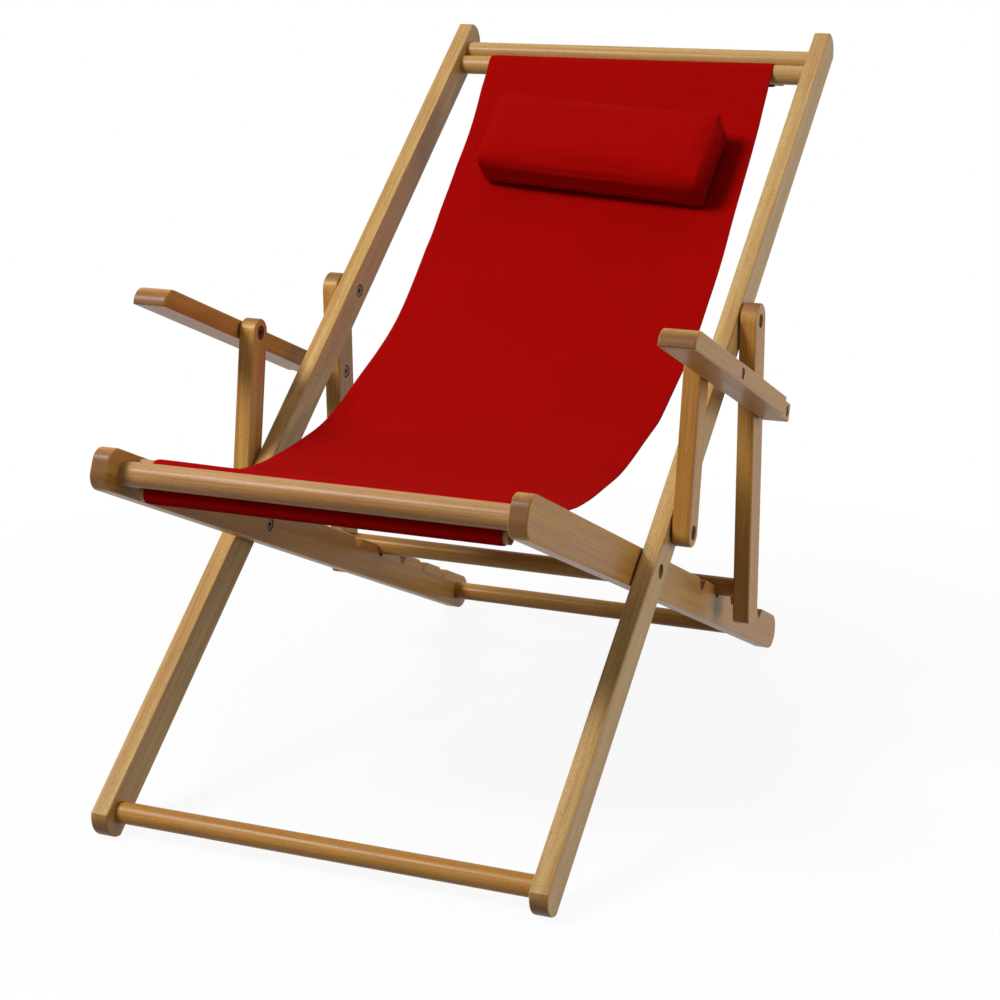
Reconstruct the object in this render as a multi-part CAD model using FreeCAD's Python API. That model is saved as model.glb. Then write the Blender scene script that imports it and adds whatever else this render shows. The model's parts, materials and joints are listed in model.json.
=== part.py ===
import FreeCAD, Part
import math
import os

Vector = FreeCAD.Vector

# Driving dimensions in millimetres and degrees. X runs across the chair, Y to the back, Z up from the floor.

# Layers from the middle outwards: seat rail, long rail, strut and post, arm board
board_thickness = 21.0
layer_gap = 2.0
arm_board_width = 42.0
edge_round = 2.0

# Long rails, from the foot on the floor to the top of the back
foot_y = -505.6
long_rail_width = 44.0
long_rail_slope = 38.0
long_rail_span = 1290.5
rail_end_radius = 28.0
rail_corner_round = 1.5
floor_flat_depth = 0.5
crossing_from_foot = 417.0
post_from_crossing = 58.0
prop_from_foot = 801.0
top_rod_from_end = 22.0
top_rod_spacing = 28.5
top_rod_diameter = 25.5
foot_dowel_diameter = 24.5

# Seat rails, from the nose to the heel on the floor
seat_rail_width = 47.0
seat_front_reach = 348.0
front_dowel_spacing = 30.0
front_pair_tilt = 14.5
front_dowel_diameter = 27.0
nose_overhang = 36.0
nose_corner_radius = 17.0
seat_rear_reach = 640.0
rear_dowel_setback = 17.0
rear_dowel_diameter = 24.5
dowel_seat_depth = 10.0
dowel_clearance = 0.05

# Notches in the top edge of the seat rails
first_notch = 258.5
notch_pitch = 75.4
notch_count = 5
notch_in_use = 1
notch_depth = 18.2
notch_front_angle = 42.0
notch_rear_angle = 37.0
notch_root_radius = 6.0
notch_lip_radius = 5.0
notch_clearance = 0.3

# Prop frame: two struts and the crossbar in the notches
strut_width = 43.0
strut_tail = 41.0
strut_corner_radius = 9.0
crossbar_diameter = 24.0

# Posts and arm boards
post_width = 34.0
post_span = 185.0
arm_span = 251.5
arm_pivot_drop = 110.0
arm_thickness = 23.0
arm_front_overhang = 195.0
arm_rear_overhang = 15.0
arm_nose_radius = 18.0
arm_step_reach = 43.0
arm_step_depth = 8.0

# Pivot bolts, sleeve nuts and washers
shank_radius = 4.0
running_clearance = 0.05
head_radius = 8.0
head_thickness = 3.5
head_recess = 4.0
socket_width = 5.0
socket_depth = 2.0
nut_radius = 8.0
nut_thickness = 4.0
nut_recess = 7.0
recess_clearance = 0.6
arm_cap_radius = 6.2
arm_cap_thickness = 4.0
arm_cap_recess = 5.0
washer_radius = 10.0
washer_thickness = 1.8

# Sling and the loose rods in its sleeves
cloth_width = 410.0
cloth_thickness = 1.6
cloth_clearance = 0.3
sling_low_front = 39.0
sling_low_rise = 92.0
sling_seat_radius = 640.0
sling_turn = 38.0
loose_rod_diameter = 19.0
loose_rod_overhang = 6.0
loose_rod_side_clearance = 14.5

# Head pillow, a boxed foam block in a sewn cover
pillow_width = 312.0
pillow_height = 128.0
pillow_thickness = 58.0
pillow_from_rod = 84.0
pillow_crown = 10.0
pillow_draw_in = 4.0
pillow_cover_thickness = 1.5
pillow_fit = 0.2

# Layer faces; the seat rails stand clear of the loose rods' ends
seat_clear_width = cloth_width + 2 * (loose_rod_overhang + loose_rod_side_clearance)
seat_in = seat_clear_width / 2
seat_out = seat_in + board_thickness
long_in = seat_out + layer_gap
long_out = long_in + board_thickness
prop_in = long_out + layer_gap
prop_out = prop_in + board_thickness
arm_in = prop_out + layer_gap
arm_out = arm_in + arm_board_width
arm_rear_floor = arm_out - arm_step_depth - arm_cap_recess


class Flat:
    """A point or direction in the side plane, Y then Z."""

    def __init__(self, y, z):
        self.y = y
        self.z = z

    def __add__(self, other):
        return Flat(self.y + other.y, self.z + other.z)

    def __sub__(self, other):
        return Flat(self.y - other.y, self.z - other.z)

    def __mul__(self, factor):
        return Flat(self.y * factor, self.z * factor)

    def dot(self, other):
        return self.y * other.y + self.z * other.z

    def length(self):
        return math.hypot(self.y, self.z)

    def unit(self):
        return self * (1 / self.length())

    def left(self):
        return Flat(-self.z, self.y)

    def angle(self):
        return math.atan2(self.z, self.y)

    def at(self, x):
        return Vector(x, self.y, self.z)


def heading(degrees):
    radians = math.radians(degrees)
    return Flat(math.cos(radians), math.sin(radians))


def circles_meet(centre_a, radius_a, centre_b, radius_b):
    """The point at the given distances from both centres, on the left of the way from a to b."""
    span = centre_b - centre_a
    along = (radius_a ** 2 - radius_b ** 2 + span.length() ** 2) / (2 * span.length())
    aside = math.sqrt(radius_a ** 2 - along ** 2)
    return centre_a + span.unit() * along + span.unit().left() * aside


# Pivots and bar centres in the side plane at rest
rail_radius = long_rail_width / 2
seat_radius = seat_rail_width / 2
rail_way = heading(long_rail_slope)
rail_up = rail_way.left()
foot = Flat(foot_y, rail_radius - floor_flat_depth)
rail_top = foot + rail_way * long_rail_span
end_slack = rail_end_radius - rail_radius
foot_end = foot + rail_way * (end_slack / math.sin(math.radians(long_rail_slope)))
top_end = rail_top - rail_way * (end_slack / math.cos(math.radians(long_rail_slope)))
pivot_seat = foot + rail_way * crossing_from_foot
pivot_post = pivot_seat + rail_way * post_from_crossing
pivot_prop = foot + rail_way * prop_from_foot
rod_rear = rail_top - rail_way * top_rod_from_end
rod_front = rod_rear - rail_way * top_rod_spacing

heel_z = seat_radius - floor_flat_depth
seat_slope = math.degrees(math.asin((pivot_seat.z - heel_z) / seat_rear_reach))
seat_way = heading(-seat_slope)
seat_up = seat_way.left()
heel = pivot_seat + seat_way * seat_rear_reach
dowel_rear = heel - seat_way * rear_dowel_setback
dowel_front = pivot_seat - seat_way * seat_front_reach
front_way = heading(front_pair_tilt - seat_slope)
front_up = front_way.left()
dowel_inner = dowel_front + front_way * front_dowel_spacing

notch_tilt = (notch_front_angle - notch_rear_angle) / 2
notch_half_angle = math.radians((notch_front_angle + notch_rear_angle) / 2)
notch_bisector = heading(90 - seat_slope + notch_tilt)
notch_floors = [
    pivot_seat + seat_way * (first_notch + i * notch_pitch) + seat_up * (seat_radius - notch_depth)
    for i in range(notch_count)
]
crossbar_seat_radius = crossbar_diameter / 2 + notch_clearance
crossbar = notch_floors[notch_in_use] + notch_bisector * (crossbar_seat_radius / math.sin(notch_half_angle))

strut_way = (crossbar - pivot_prop).unit()
pivot_arm_rear = pivot_prop + strut_way * arm_pivot_drop
pivot_arm_front = circles_meet(pivot_post, post_span, pivot_arm_rear, arm_span)
arm_way = (pivot_arm_rear - pivot_arm_front).unit()
arm_up = arm_way.left()


def slab(wire, x_from, x_to):
    return Part.Face(wire).extrude(Vector(x_to - x_from, 0, 0))


def bar(centre, radius, x_from, x_to):
    return Part.makeCylinder(radius, x_to - x_from, centre.at(x_from), Vector(1, 0, 0))


def ring(centre, inner_radius, outer_radius, x_from, x_to):
    return bar(centre, outer_radius, x_from, x_to).cut(bar(centre, inner_radius, x_from, x_to))


def line(a, b, x=0.0):
    return Part.LineSegment(a.at(x), b.at(x)).toShape()


def arc(centre, radius, start, end, x=0.0):
    """An arc about a centre from one angle to another, in radians, either way round."""
    middle = (start + end) / 2
    points = [(centre + Flat(math.cos(a), math.sin(a)) * radius).at(x) for a in (start, middle, end)]
    return Part.Arc(*points).toShape()


def rounded_outline(corners, radii, x):
    """A closed outline through the corners, each rounded by its own radius."""
    edges = []
    count = len(corners)
    ends = []
    for i, (corner, radius) in enumerate(zip(corners, radii)):
        before = (corners[i - 1] - corner).unit()
        after = (corners[(i + 1) % count] - corner).unit()
        half = math.acos(max(-1.0, min(1.0, before.dot(after)))) / 2
        reach = radius / math.tan(half)
        middle = (before + after).unit()
        centre = corner + middle * (radius / math.sin(half))
        ends.append((corner + before * reach, centre - middle * radius, corner + after * reach))
    for i, (start, bulge, end) in enumerate(ends):
        if (end - start).length() > 1e-6:
            edges.append(Part.Arc(start.at(x), bulge.at(x), end.at(x)).toShape())
        following = ends[(i + 1) % count][0]
        if (following - end).length() > 1e-6:
            edges.append(line(end, following, x))
    return Part.Wire(edges)


def round_long_edges(shape, x_from, x_to, radius):
    """Rounds every edge that lies in either flat side of a board."""
    edges = []
    for edge in shape.Edges:
        box = edge.BoundBox
        if box.XLength < 1e-6 and (abs(box.XMin - x_from) < 1e-6 or abs(box.XMin - x_to) < 1e-6):
            edges.append(edge)
    return shape.makeFillet(radius, edges)


def board(corners, radii, x_from, x_to, edge_radius):
    blank = slab(rounded_outline(corners, radii, x_from), x_from, x_to)
    return round_long_edges(blank, x_from, x_to, edge_radius)


def strip_corners(start, end, way, width, before, after):
    """Corners of a straight board about its centre line, with the given overhang at each end."""
    side = way.left() * (width / 2)
    head = start - way * before
    tail = end + way * after
    return [head - side, tail - side, tail + side, head + side]


def arc_ended(start, end, way, width, radius, x):
    """Outline of a straight board with a shallow arc about a centre near each end."""
    side = way.left() * (width / 2)
    reach = way * math.sqrt(radius ** 2 - (width / 2) ** 2)
    corners = [start - reach - side, end + reach - side, end + reach + side, start - reach + side]
    tip = end + way * radius
    toe = start - way * radius
    return Part.Wire([
        line(corners[0], corners[1], x),
        Part.Arc(corners[1].at(x), tip.at(x), corners[2].at(x)).toShape(),
        line(corners[2], corners[3], x),
        Part.Arc(corners[3].at(x), toe.at(x), corners[0].at(x)).toShape(),
    ])


def cut_all(shape, tools):
    for tool in tools:
        shape = shape.cut(tool)
    return shape


def floor_block(x_from, x_to, centre, radius):
    return Part.makeBox(x_to - x_from, 4 * radius, radius, Vector(x_from, centre.y - 2 * radius, -radius))


def inner_recess(centre, x_face):
    return bar(centre, head_radius + recess_clearance, x_face - edge_round, x_face + head_recess)


def outer_recess(centre, x_face):
    return bar(centre, nut_radius + recess_clearance, x_face - nut_recess, x_face + edge_round)


def shank_hole(centre, x_from, x_to):
    return bar(centre, shank_radius + running_clearance, x_from, x_to)


def dowel_socket(centre, diameter, x_face, inwards):
    far = x_face + inwards * dowel_seat_depth
    return bar(centre, diameter / 2 + dowel_clearance, min(x_face, far), max(x_face, far))


def dowel_between(centre, diameter, x_face):
    reach = x_face + dowel_seat_depth - dowel_clearance
    return bar(centre, diameter / 2, -reach, reach)


def long_rail():
    outline = arc_ended(foot_end, top_end, rail_way, long_rail_width, rail_end_radius, long_in)
    blank = slab(outline, long_in, long_out)
    ridges = [edge for edge in blank.Edges if edge.BoundBox.XLength > board_thickness / 2]
    blank = blank.makeFillet(rail_corner_round, ridges)
    blank = round_long_edges(blank, long_in, long_out, edge_round)
    return cut_all(blank, [
        floor_block(long_in, long_out, foot_end, rail_end_radius),
        dowel_socket(foot_end, foot_dowel_diameter, long_in, 1),
        dowel_socket(rod_front, top_rod_diameter, long_in, 1),
        dowel_socket(rod_rear, top_rod_diameter, long_in, 1),
        shank_hole(pivot_seat, long_in, long_out),
        outer_recess(pivot_seat, long_out),
        shank_hole(pivot_prop, long_in, long_out),
        inner_recess(pivot_prop, long_in),
        shank_hole(pivot_post, long_in, long_out),
        inner_recess(pivot_post, long_in),
    ])


def notch_tool(floor_point):
    """The space cut out of the top edge at one notch, with a rounded root and rounded lips."""
    high = seat_rail_width
    front_wall = heading(90 - seat_slope + notch_front_angle)
    rear_wall = heading(90 - seat_slope - notch_rear_angle)
    front_lip = floor_point + front_wall * (notch_depth / math.cos(math.radians(notch_front_angle)))
    rear_lip = floor_point + rear_wall * (notch_depth / math.cos(math.radians(notch_rear_angle)))
    front_end = front_lip - seat_way * (notch_pitch / 4)
    rear_end = rear_lip + seat_way * (notch_pitch / 4)
    corners = [
        floor_point, rear_lip, rear_end,
        rear_end + seat_up * high, front_end + seat_up * high, front_end, front_lip,
    ]
    radii = [notch_root_radius, notch_lip_radius, 0.0, 0.0, 0.0, 0.0, notch_lip_radius]
    return slab(rounded_outline(corners, radii, seat_in - 1), seat_in - 1, seat_out + 1)


def seat_rail():
    corners = strip_corners(dowel_front, heel, seat_way, seat_rail_width, nose_overhang, seat_radius)
    almost_round = seat_radius * 0.999
    radii = [nose_corner_radius, almost_round, almost_round, nose_corner_radius]
    blank = board(corners, radii, seat_in, seat_out, edge_round)
    blank = cut_all(blank, [notch_tool(point) for point in notch_floors])
    return cut_all(blank, [
        floor_block(seat_in, seat_out, heel, seat_radius),
        dowel_socket(dowel_front, front_dowel_diameter, seat_in, 1),
        dowel_socket(dowel_inner, front_dowel_diameter, seat_in, 1),
        dowel_socket(dowel_rear, rear_dowel_diameter, seat_in, 1),
        shank_hole(pivot_seat, seat_in, seat_out),
        inner_recess(pivot_seat, seat_in),
    ])


def strut():
    radius = strut_width / 2
    corners = strip_corners(pivot_prop, crossbar, strut_way, strut_width, radius, strut_tail)
    almost_round = radius * 0.999
    radii = [almost_round, strut_corner_radius, strut_corner_radius, almost_round]
    blank = board(corners, radii, prop_in, prop_out, edge_round)
    return cut_all(blank, [
        shank_hole(pivot_prop, prop_in, prop_out),
        outer_recess(pivot_prop, prop_out),
        shank_hole(pivot_arm_rear, prop_in, prop_out),
        inner_recess(pivot_arm_rear, prop_in),
        dowel_socket(crossbar, crossbar_diameter, prop_in, 1),
    ])


def post():
    radius = post_width / 2
    way = (pivot_arm_front - pivot_post).unit()
    corners = strip_corners(pivot_post, pivot_arm_front, way, post_width, radius, radius)
    blank = board(corners, [radius * 0.999] * 4, prop_in, prop_out, edge_round)
    return cut_all(blank, [
        shank_hole(pivot_post, prop_in, prop_out),
        outer_recess(pivot_post, prop_out),
        shank_hole(pivot_arm_front, prop_in, prop_out),
        inner_recess(pivot_arm_front, prop_in),
    ])


def arm_blank():
    """An arm board in its own frame: X along the board from the front pivot, Y outwards, Z down."""
    front = -arm_front_overhang
    rear = arm_span + arm_rear_overhang
    top = -arm_thickness / 2
    step = arm_span - arm_step_reach
    narrow = arm_board_width - arm_step_depth
    blank = Part.makeBox(rear - front, arm_board_width, arm_thickness, Vector(front, 0, top))
    nose = [edge for edge in blank.Edges
            if edge.BoundBox.XMax < front + 1e-6 and edge.BoundBox.ZMax < top + 1e-6]
    blank = blank.makeFillet(arm_nose_radius, nose)
    blank = blank.makeFillet(edge_round, blank.Edges)
    blank = blank.cut(Part.makeBox(rear - step, arm_step_depth, arm_thickness, Vector(step, narrow, top)))
    rims = [edge for edge in blank.Edges
            if abs(edge.BoundBox.YMin - narrow) < 1e-6 and edge.BoundBox.XMax > step + edge_round]
    return blank.makeFillet(edge_round, rims)


def arm_board():
    blank = arm_blank()
    blank.Placement = FreeCAD.Placement(FreeCAD.Matrix(
        0, 1, 0, arm_in,
        arm_way.y, 0, -arm_up.y, pivot_arm_front.y,
        arm_way.z, 0, -arm_up.z, pivot_arm_front.z,
        0, 0, 0, 1))
    return cut_all(blank, [
        shank_hole(pivot_arm_front, arm_in, arm_out),
        bar(pivot_arm_front, arm_cap_radius + recess_clearance, arm_out - arm_cap_recess, arm_out + 1),
        shank_hole(pivot_arm_rear, arm_in, arm_out),
        bar(pivot_arm_rear, arm_cap_radius + recess_clearance, arm_rear_floor, arm_out + 1),
    ])


def bolt(centre, x_head, x_end):
    head_top = x_head + head_recess - head_thickness
    head = bar(centre, head_radius, head_top, x_head + head_recess)
    rim = [edge for edge in head.Edges if edge.BoundBox.XMax < head_top + 1e-6]
    head = head.makeFillet(head_thickness * 0.4, rim)
    shank = bar(centre, shank_radius, x_head + head_recess, x_end)
    return head.fuse(shank).removeSplitter().cut(key_socket(centre, head_top))


def key_socket(centre, x_from):
    """The six-sided socket in the face of a bolt head."""
    reach = socket_width / math.sqrt(3)
    corners = [(centre + heading(60 * i) * reach).at(x_from) for i in range(7)]
    return Part.Face(Part.makePolygon(corners)).extrude(Vector(socket_depth, 0, 0))


def nut(centre, x_seat):
    return ring(centre, shank_radius + running_clearance, nut_radius, x_seat, x_seat + nut_thickness)


def washer(centre, x_from):
    slack = (layer_gap - washer_thickness) / 2
    bore = shank_radius + running_clearance
    return ring(centre, bore, washer_radius, x_from + slack, x_from + slack + washer_thickness)


def arm_cap(centre, x_outer_seat):
    return ring(centre, shank_radius + running_clearance, arm_cap_radius,
                x_outer_seat, x_outer_seat + arm_cap_thickness)


face_slack = (layer_gap - washer_thickness) / 2
long_nut_seat = long_out - nut_recess + face_slack
prop_nut_seat = prop_out - nut_recess + face_slack
arm_front_seat = arm_out - arm_cap_recess
arm_rear_seat = arm_rear_floor + face_slack


def both_sides(shape):
    return Part.makeCompound([mirrored(shape), shape])


def mirrored(shape):
    return shape.mirror(Vector(0, 0, 0), Vector(1, 0, 0))


# The sling's line in the side plane: from the front sleeve over the inner dowel, through the seat, up the
# back, over the front top rod and down between the rods to the top sleeve
sleeve_inner = loose_rod_diameter / 2 + cloth_clearance
sleeve_outer = sleeve_inner + cloth_thickness
front_wrap = front_dowel_diameter / 2 + cloth_clearance + cloth_thickness / 2
top_wrap = top_rod_diameter / 2 + cloth_clearance + cloth_thickness / 2


def sleeve_centre(near_bar, way, spacing, diameter, up):
    """Where a sleeve lies wedged below the middle of the gap between two bars."""
    reach = diameter / 2 + cloth_clearance + sleeve_outer
    return near_bar + way * (spacing / 2) - up * math.sqrt(reach ** 2 - (spacing / 2) ** 2)


front_sleeve = sleeve_centre(dowel_inner, front_way * -1, front_dowel_spacing, front_dowel_diameter, front_up)
top_sleeve = sleeve_centre(rod_front, rail_way, top_rod_spacing, top_rod_diameter, rail_up)

sling_low = Flat(pivot_seat.y - sling_low_front, pivot_seat.z + sling_low_rise)
low_from_dowel = sling_low - dowel_inner
front_sag_radius = (low_from_dowel.length() ** 2 - front_wrap ** 2) / (2 * (front_wrap - low_from_dowel.z))
front_sag_centre = sling_low + Flat(0, front_sag_radius)
seat_sag_centre = sling_low + Flat(0, sling_seat_radius)
turn_normal = heading(90 + sling_turn)
sling_turn_point = seat_sag_centre - turn_normal * sling_seat_radius
turn_from_rod = sling_turn_point - rod_front
turn_rise = top_wrap - turn_from_rod.dot(turn_normal)
back_sag_radius = (turn_from_rod.length() ** 2 - top_wrap ** 2) / (2 * turn_rise)
back_sag_centre = sling_turn_point + turn_normal * back_sag_radius

front_leave = (front_sag_centre - dowel_inner).angle()
top_meet = (back_sag_centre - rod_front).angle()
front_down = (front_way * -1).angle()
low_angle = -math.pi / 2
turn_angle = math.radians(sling_turn - 90)


def arc_band(centre, radius, start, end):
    """A stretch of cloth bent about a centre."""
    half = cloth_thickness / 2
    inner = arc(centre, radius - half, start, end)
    outer = arc(centre, radius + half, end, start)
    first = Flat(math.cos(start), math.sin(start))
    last = Flat(math.cos(end), math.sin(end))
    sides = [
        line(centre + last * (radius - half), centre + last * (radius + half)),
        line(centre + first * (radius + half), centre + first * (radius - half)),
    ]
    return Part.Face(Part.Wire([inner, sides[0], outer, sides[1]]))


def straight_band(start, end):
    side = (end - start).unit().left() * (cloth_thickness / 2)
    corners = [start - side, end - side, end + side, start + side]
    edges = [line(corners[i - 1], corners[i]) for i in range(4)]
    return Part.Face(Part.Wire(Part.__sortEdges__(edges)))


def sleeve_band(centre):
    outer = Part.Wire(Part.makeCircle(sleeve_outer, centre.at(0), Vector(1, 0, 0)))
    inner = Part.Wire(Part.makeCircle(sleeve_inner, centre.at(0), Vector(1, 0, 0)))
    return Part.Face(outer).cut(Part.Face(inner)).Faces[0]


def sleeve_reach(centre, start, up):
    """The end of the straight stretch that runs from a bar down to the wall of a sleeve."""
    aside = (start - centre) - up * (start - centre).dot(up)
    wall = (sleeve_inner + sleeve_outer) / 2
    return centre + aside + up * math.sqrt(wall ** 2 - aside.length() ** 2)


def sling():
    front_start = dowel_inner - front_way * front_wrap
    top_start = rod_front + rail_way * top_wrap
    bands = [
        straight_band(front_start, sleeve_reach(front_sleeve, front_start, front_up)),
        arc_band(dowel_inner, front_wrap, front_down, front_leave),
        arc_band(front_sag_centre, front_sag_radius, front_leave - math.pi, low_angle),
        arc_band(seat_sag_centre, sling_seat_radius, low_angle, turn_angle),
        arc_band(back_sag_centre, back_sag_radius, turn_angle, top_meet - math.pi),
        arc_band(rod_front, top_wrap, top_meet, rail_way.angle()),
        straight_band(top_start, sleeve_reach(top_sleeve, top_start, rail_up)),
        sleeve_band(top_sleeve),
    ]
    across = Vector(cloth_width, 0, 0)
    first = sleeve_band(front_sleeve).extrude(across)
    cloth = first.multiFuse([band.extrude(across) for band in bands]).removeSplitter()
    cloth.translate(Vector(-cloth_width / 2, 0, 0))
    return cloth.Solids[0]


# The pillow stands on the front of the sling, square to the cloth at its middle
pillow_turn = top_meet - math.pi - (pillow_from_rod + pillow_height / 2) / back_sag_radius
pillow_out = Flat(math.cos(pillow_turn), math.sin(pillow_turn)) * -1
pillow_along = pillow_out.left() * -1
pillow_sag = back_sag_radius - cloth_thickness / 2
pillow_rise = pillow_sag - math.sqrt(pillow_sag ** 2 - (pillow_height / 2) ** 2)
pillow_base = back_sag_centre - pillow_out * (pillow_sag - pillow_rise - cloth_clearance)


def pillow_outline(out, inset, shrink):
    """A cross-section of the pillow at one distance from the cloth, its sides drawn in between corners."""
    half_x = pillow_width / 2 - inset - shrink
    half_h = pillow_height / 2 - inset - shrink
    centre = pillow_base + pillow_out * out

    def spot(x, h):
        return (centre + pillow_along * h).at(x)

    corners = [(-half_x, -half_h), (half_x, -half_h), (half_x, half_h), (-half_x, half_h)]
    middles = [(0, pillow_draw_in - half_h), (half_x - pillow_draw_in, 0),
               (0, half_h - pillow_draw_in), (pillow_draw_in - half_x, 0)]
    edges = [
        Part.Arc(spot(*corners[i]), spot(*middles[i]), spot(*corners[(i + 1) % 4])).toShape()
        for i in range(4)
    ]
    return Part.Wire(edges)


def pillow_block(shrink):
    """The crowned block, or the same block drawn in all round by a shrink."""
    low = shrink
    high = pillow_thickness - shrink
    stations = [(low, pillow_crown), (low + pillow_crown, 0.0),
                (high - pillow_crown, 0.0), (high, pillow_crown)]
    return Part.makeLoft([pillow_outline(out, inset, shrink) for out, inset in stations], True, True)


def export(name, shape):
    shape.exportStep("parts/" + name + ".step")


def export_pair(name, shape):
    export(name + "_right", shape)
    export(name + "_left", mirrored(shape))


os.makedirs("parts", exist_ok=True)

export_pair("long_rail", long_rail())
export_pair("seat_rail", seat_rail())
export_pair("strut", strut())
export_pair("post", post())
export_pair("arm", arm_board())

export("foot_dowel", dowel_between(foot_end, foot_dowel_diameter, long_in))
export("top_rod_front", dowel_between(rod_front, top_rod_diameter, long_in))
export("top_rod_rear", dowel_between(rod_rear, top_rod_diameter, long_in))
export("front_dowel", dowel_between(dowel_front, front_dowel_diameter, seat_in))
export("front_dowel_inner", dowel_between(dowel_inner, front_dowel_diameter, seat_in))
export("rear_dowel", dowel_between(dowel_rear, rear_dowel_diameter, seat_in))
export("prop_crossbar", dowel_between(crossbar, crossbar_diameter, prop_in))

loose_half = cloth_width / 2 + loose_rod_overhang
export("sling", sling())
export("sling_rod_top", bar(top_sleeve, loose_rod_diameter / 2, -loose_half, loose_half))
export("sling_rod_front", bar(front_sleeve, loose_rod_diameter / 2, -loose_half, loose_half))

pillow_hollow = pillow_block(pillow_cover_thickness)
export("pillow_cover", pillow_block(0.0).cut(pillow_hollow))
export("pillow_foam", pillow_block(pillow_cover_thickness + pillow_fit))

export("seat_pivot_bolts", both_sides(bolt(pivot_seat, seat_in, long_nut_seat + nut_thickness)))
export("seat_pivot_nuts", both_sides(nut(pivot_seat, long_nut_seat)))
export("seat_pivot_washers", both_sides(washer(pivot_seat, seat_out)))
export("prop_pivot_bolts", both_sides(bolt(pivot_prop, long_in, prop_nut_seat + nut_thickness)))
export("prop_pivot_nuts", both_sides(nut(pivot_prop, prop_nut_seat)))
export("prop_pivot_washers", both_sides(washer(pivot_prop, long_out)))
export("post_pivot_bolts", both_sides(bolt(pivot_post, long_in, prop_nut_seat + nut_thickness)))
export("post_pivot_nuts", both_sides(nut(pivot_post, prop_nut_seat)))
export("post_pivot_washers", both_sides(washer(pivot_post, long_out)))
export("arm_rear_bolts", both_sides(bolt(pivot_arm_rear, prop_in, arm_rear_seat + arm_cap_thickness)))
export("arm_rear_nuts", both_sides(arm_cap(pivot_arm_rear, arm_rear_seat)))
export("arm_rear_washers", both_sides(washer(pivot_arm_rear, prop_out)))
export_pair("arm_front_bolt", bolt(pivot_arm_front, prop_in, prop_out))
export_pair("arm_front_washer", washer(pivot_arm_front, prop_out))
arm_stud = bar(pivot_arm_front, shank_radius, arm_in, arm_front_seat)
arm_stud_cap = bar(pivot_arm_front, arm_cap_radius, arm_front_seat, arm_front_seat + arm_cap_thickness)
export_pair("arm_front_nut", arm_stud.fuse(arm_stud_cap).removeSplitter())

for label, spot in (("seat pivot", pivot_seat), ("prop pivot", pivot_prop), ("post pivot", pivot_post),
                    ("arm front pivot", pivot_arm_front), ("arm rear pivot", pivot_arm_rear),
                    ("crossbar", crossbar), ("foot", foot), ("heel", heel), ("rail top", rail_top),
                    ("sling low", sling_low), ("sling turn", sling_turn_point)):
    print(label, round(spot.y, 3), round(spot.z, 3))
wrap_lengths = [
    front_wrap * (front_down - front_leave),
    front_sag_radius * (low_angle - (front_leave - math.pi)),
    sling_seat_radius * (turn_angle - low_angle),
    back_sag_radius * (top_meet - math.pi - turn_angle),
    top_wrap * (top_meet - rail_way.angle()),
]
print("seat slope", round(seat_slope, 3), "sag radii", round(front_sag_radius), round(back_sag_radius))
print("cloth over the bars", [round(length, 1) for length in wrap_lengths], round(sum(wrap_lengths), 1))
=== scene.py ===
import json
import math

import bmesh
import bpy
from mathutils import Matrix, Vector, noise
from mathutils.bvhtree import BVHTree


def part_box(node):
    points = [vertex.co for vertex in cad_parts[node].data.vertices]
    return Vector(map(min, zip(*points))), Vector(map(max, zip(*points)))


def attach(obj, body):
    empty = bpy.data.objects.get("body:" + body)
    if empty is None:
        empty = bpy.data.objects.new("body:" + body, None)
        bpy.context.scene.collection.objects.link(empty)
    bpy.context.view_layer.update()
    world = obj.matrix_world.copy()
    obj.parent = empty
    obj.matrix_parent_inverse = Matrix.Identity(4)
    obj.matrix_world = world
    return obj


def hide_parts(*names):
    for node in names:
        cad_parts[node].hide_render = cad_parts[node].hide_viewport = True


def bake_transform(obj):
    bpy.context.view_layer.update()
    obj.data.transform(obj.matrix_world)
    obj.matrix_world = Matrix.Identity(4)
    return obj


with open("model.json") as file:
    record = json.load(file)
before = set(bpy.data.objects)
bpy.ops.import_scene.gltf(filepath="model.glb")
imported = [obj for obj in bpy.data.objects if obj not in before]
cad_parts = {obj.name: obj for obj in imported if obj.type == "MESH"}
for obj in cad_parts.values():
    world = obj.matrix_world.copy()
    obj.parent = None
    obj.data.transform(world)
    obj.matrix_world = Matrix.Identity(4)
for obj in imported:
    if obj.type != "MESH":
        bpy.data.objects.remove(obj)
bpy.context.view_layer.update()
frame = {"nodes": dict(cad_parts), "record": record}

scene = bpy.context.scene
scene.view_settings.view_transform = "Standard"
print("frame loaded")


def socket(group, name, kind, inOut, value=None):
    made = group.interface.new_socket(name=name, in_out=inOut, socket_type=kind)
    if value is not None:
        made.default_value = value


def addNode(tree, kind, **values):
    node = tree.nodes.new(kind)
    for key, value in values.items():
        setattr(node, key, value)
    return node


def setInputs(node, **values):
    for key, value in values.items():
        node.inputs[key].default_value = value


def mathNode(tree, operation, first, second):
    node = addNode(tree, "ShaderNodeMath", operation=operation)
    for slot, value in enumerate((first, second)):
        if isinstance(value, (int, float)):
            node.inputs[slot].default_value = value
        else:
            tree.links.new(value, node.inputs[slot])
    return node.outputs[0]


def scaledNoise(tree, vector, scale, detail, roughness=0.55):
    stretch = addNode(tree, "ShaderNodeVectorMath", operation="MULTIPLY")
    stretch.inputs[1].default_value = scale
    tree.links.new(vector, stretch.inputs[0])
    texture = addNode(tree, "ShaderNodeTexNoise")
    setInputs(texture, Scale=1.0, Detail=detail, Roughness=roughness)
    tree.links.new(stretch.outputs[0], texture.inputs["Vector"])
    return texture.outputs["Fac"]


def mapRange(tree, value, span, result):
    node = addNode(tree, "ShaderNodeMapRange", clamp=True)
    setInputs(node, **{"From Min": span[0], "From Max": span[1], "To Min": result[0], "To Max": result[1]})
    tree.links.new(value, node.inputs["Value"])
    return node.outputs[0]


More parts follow.
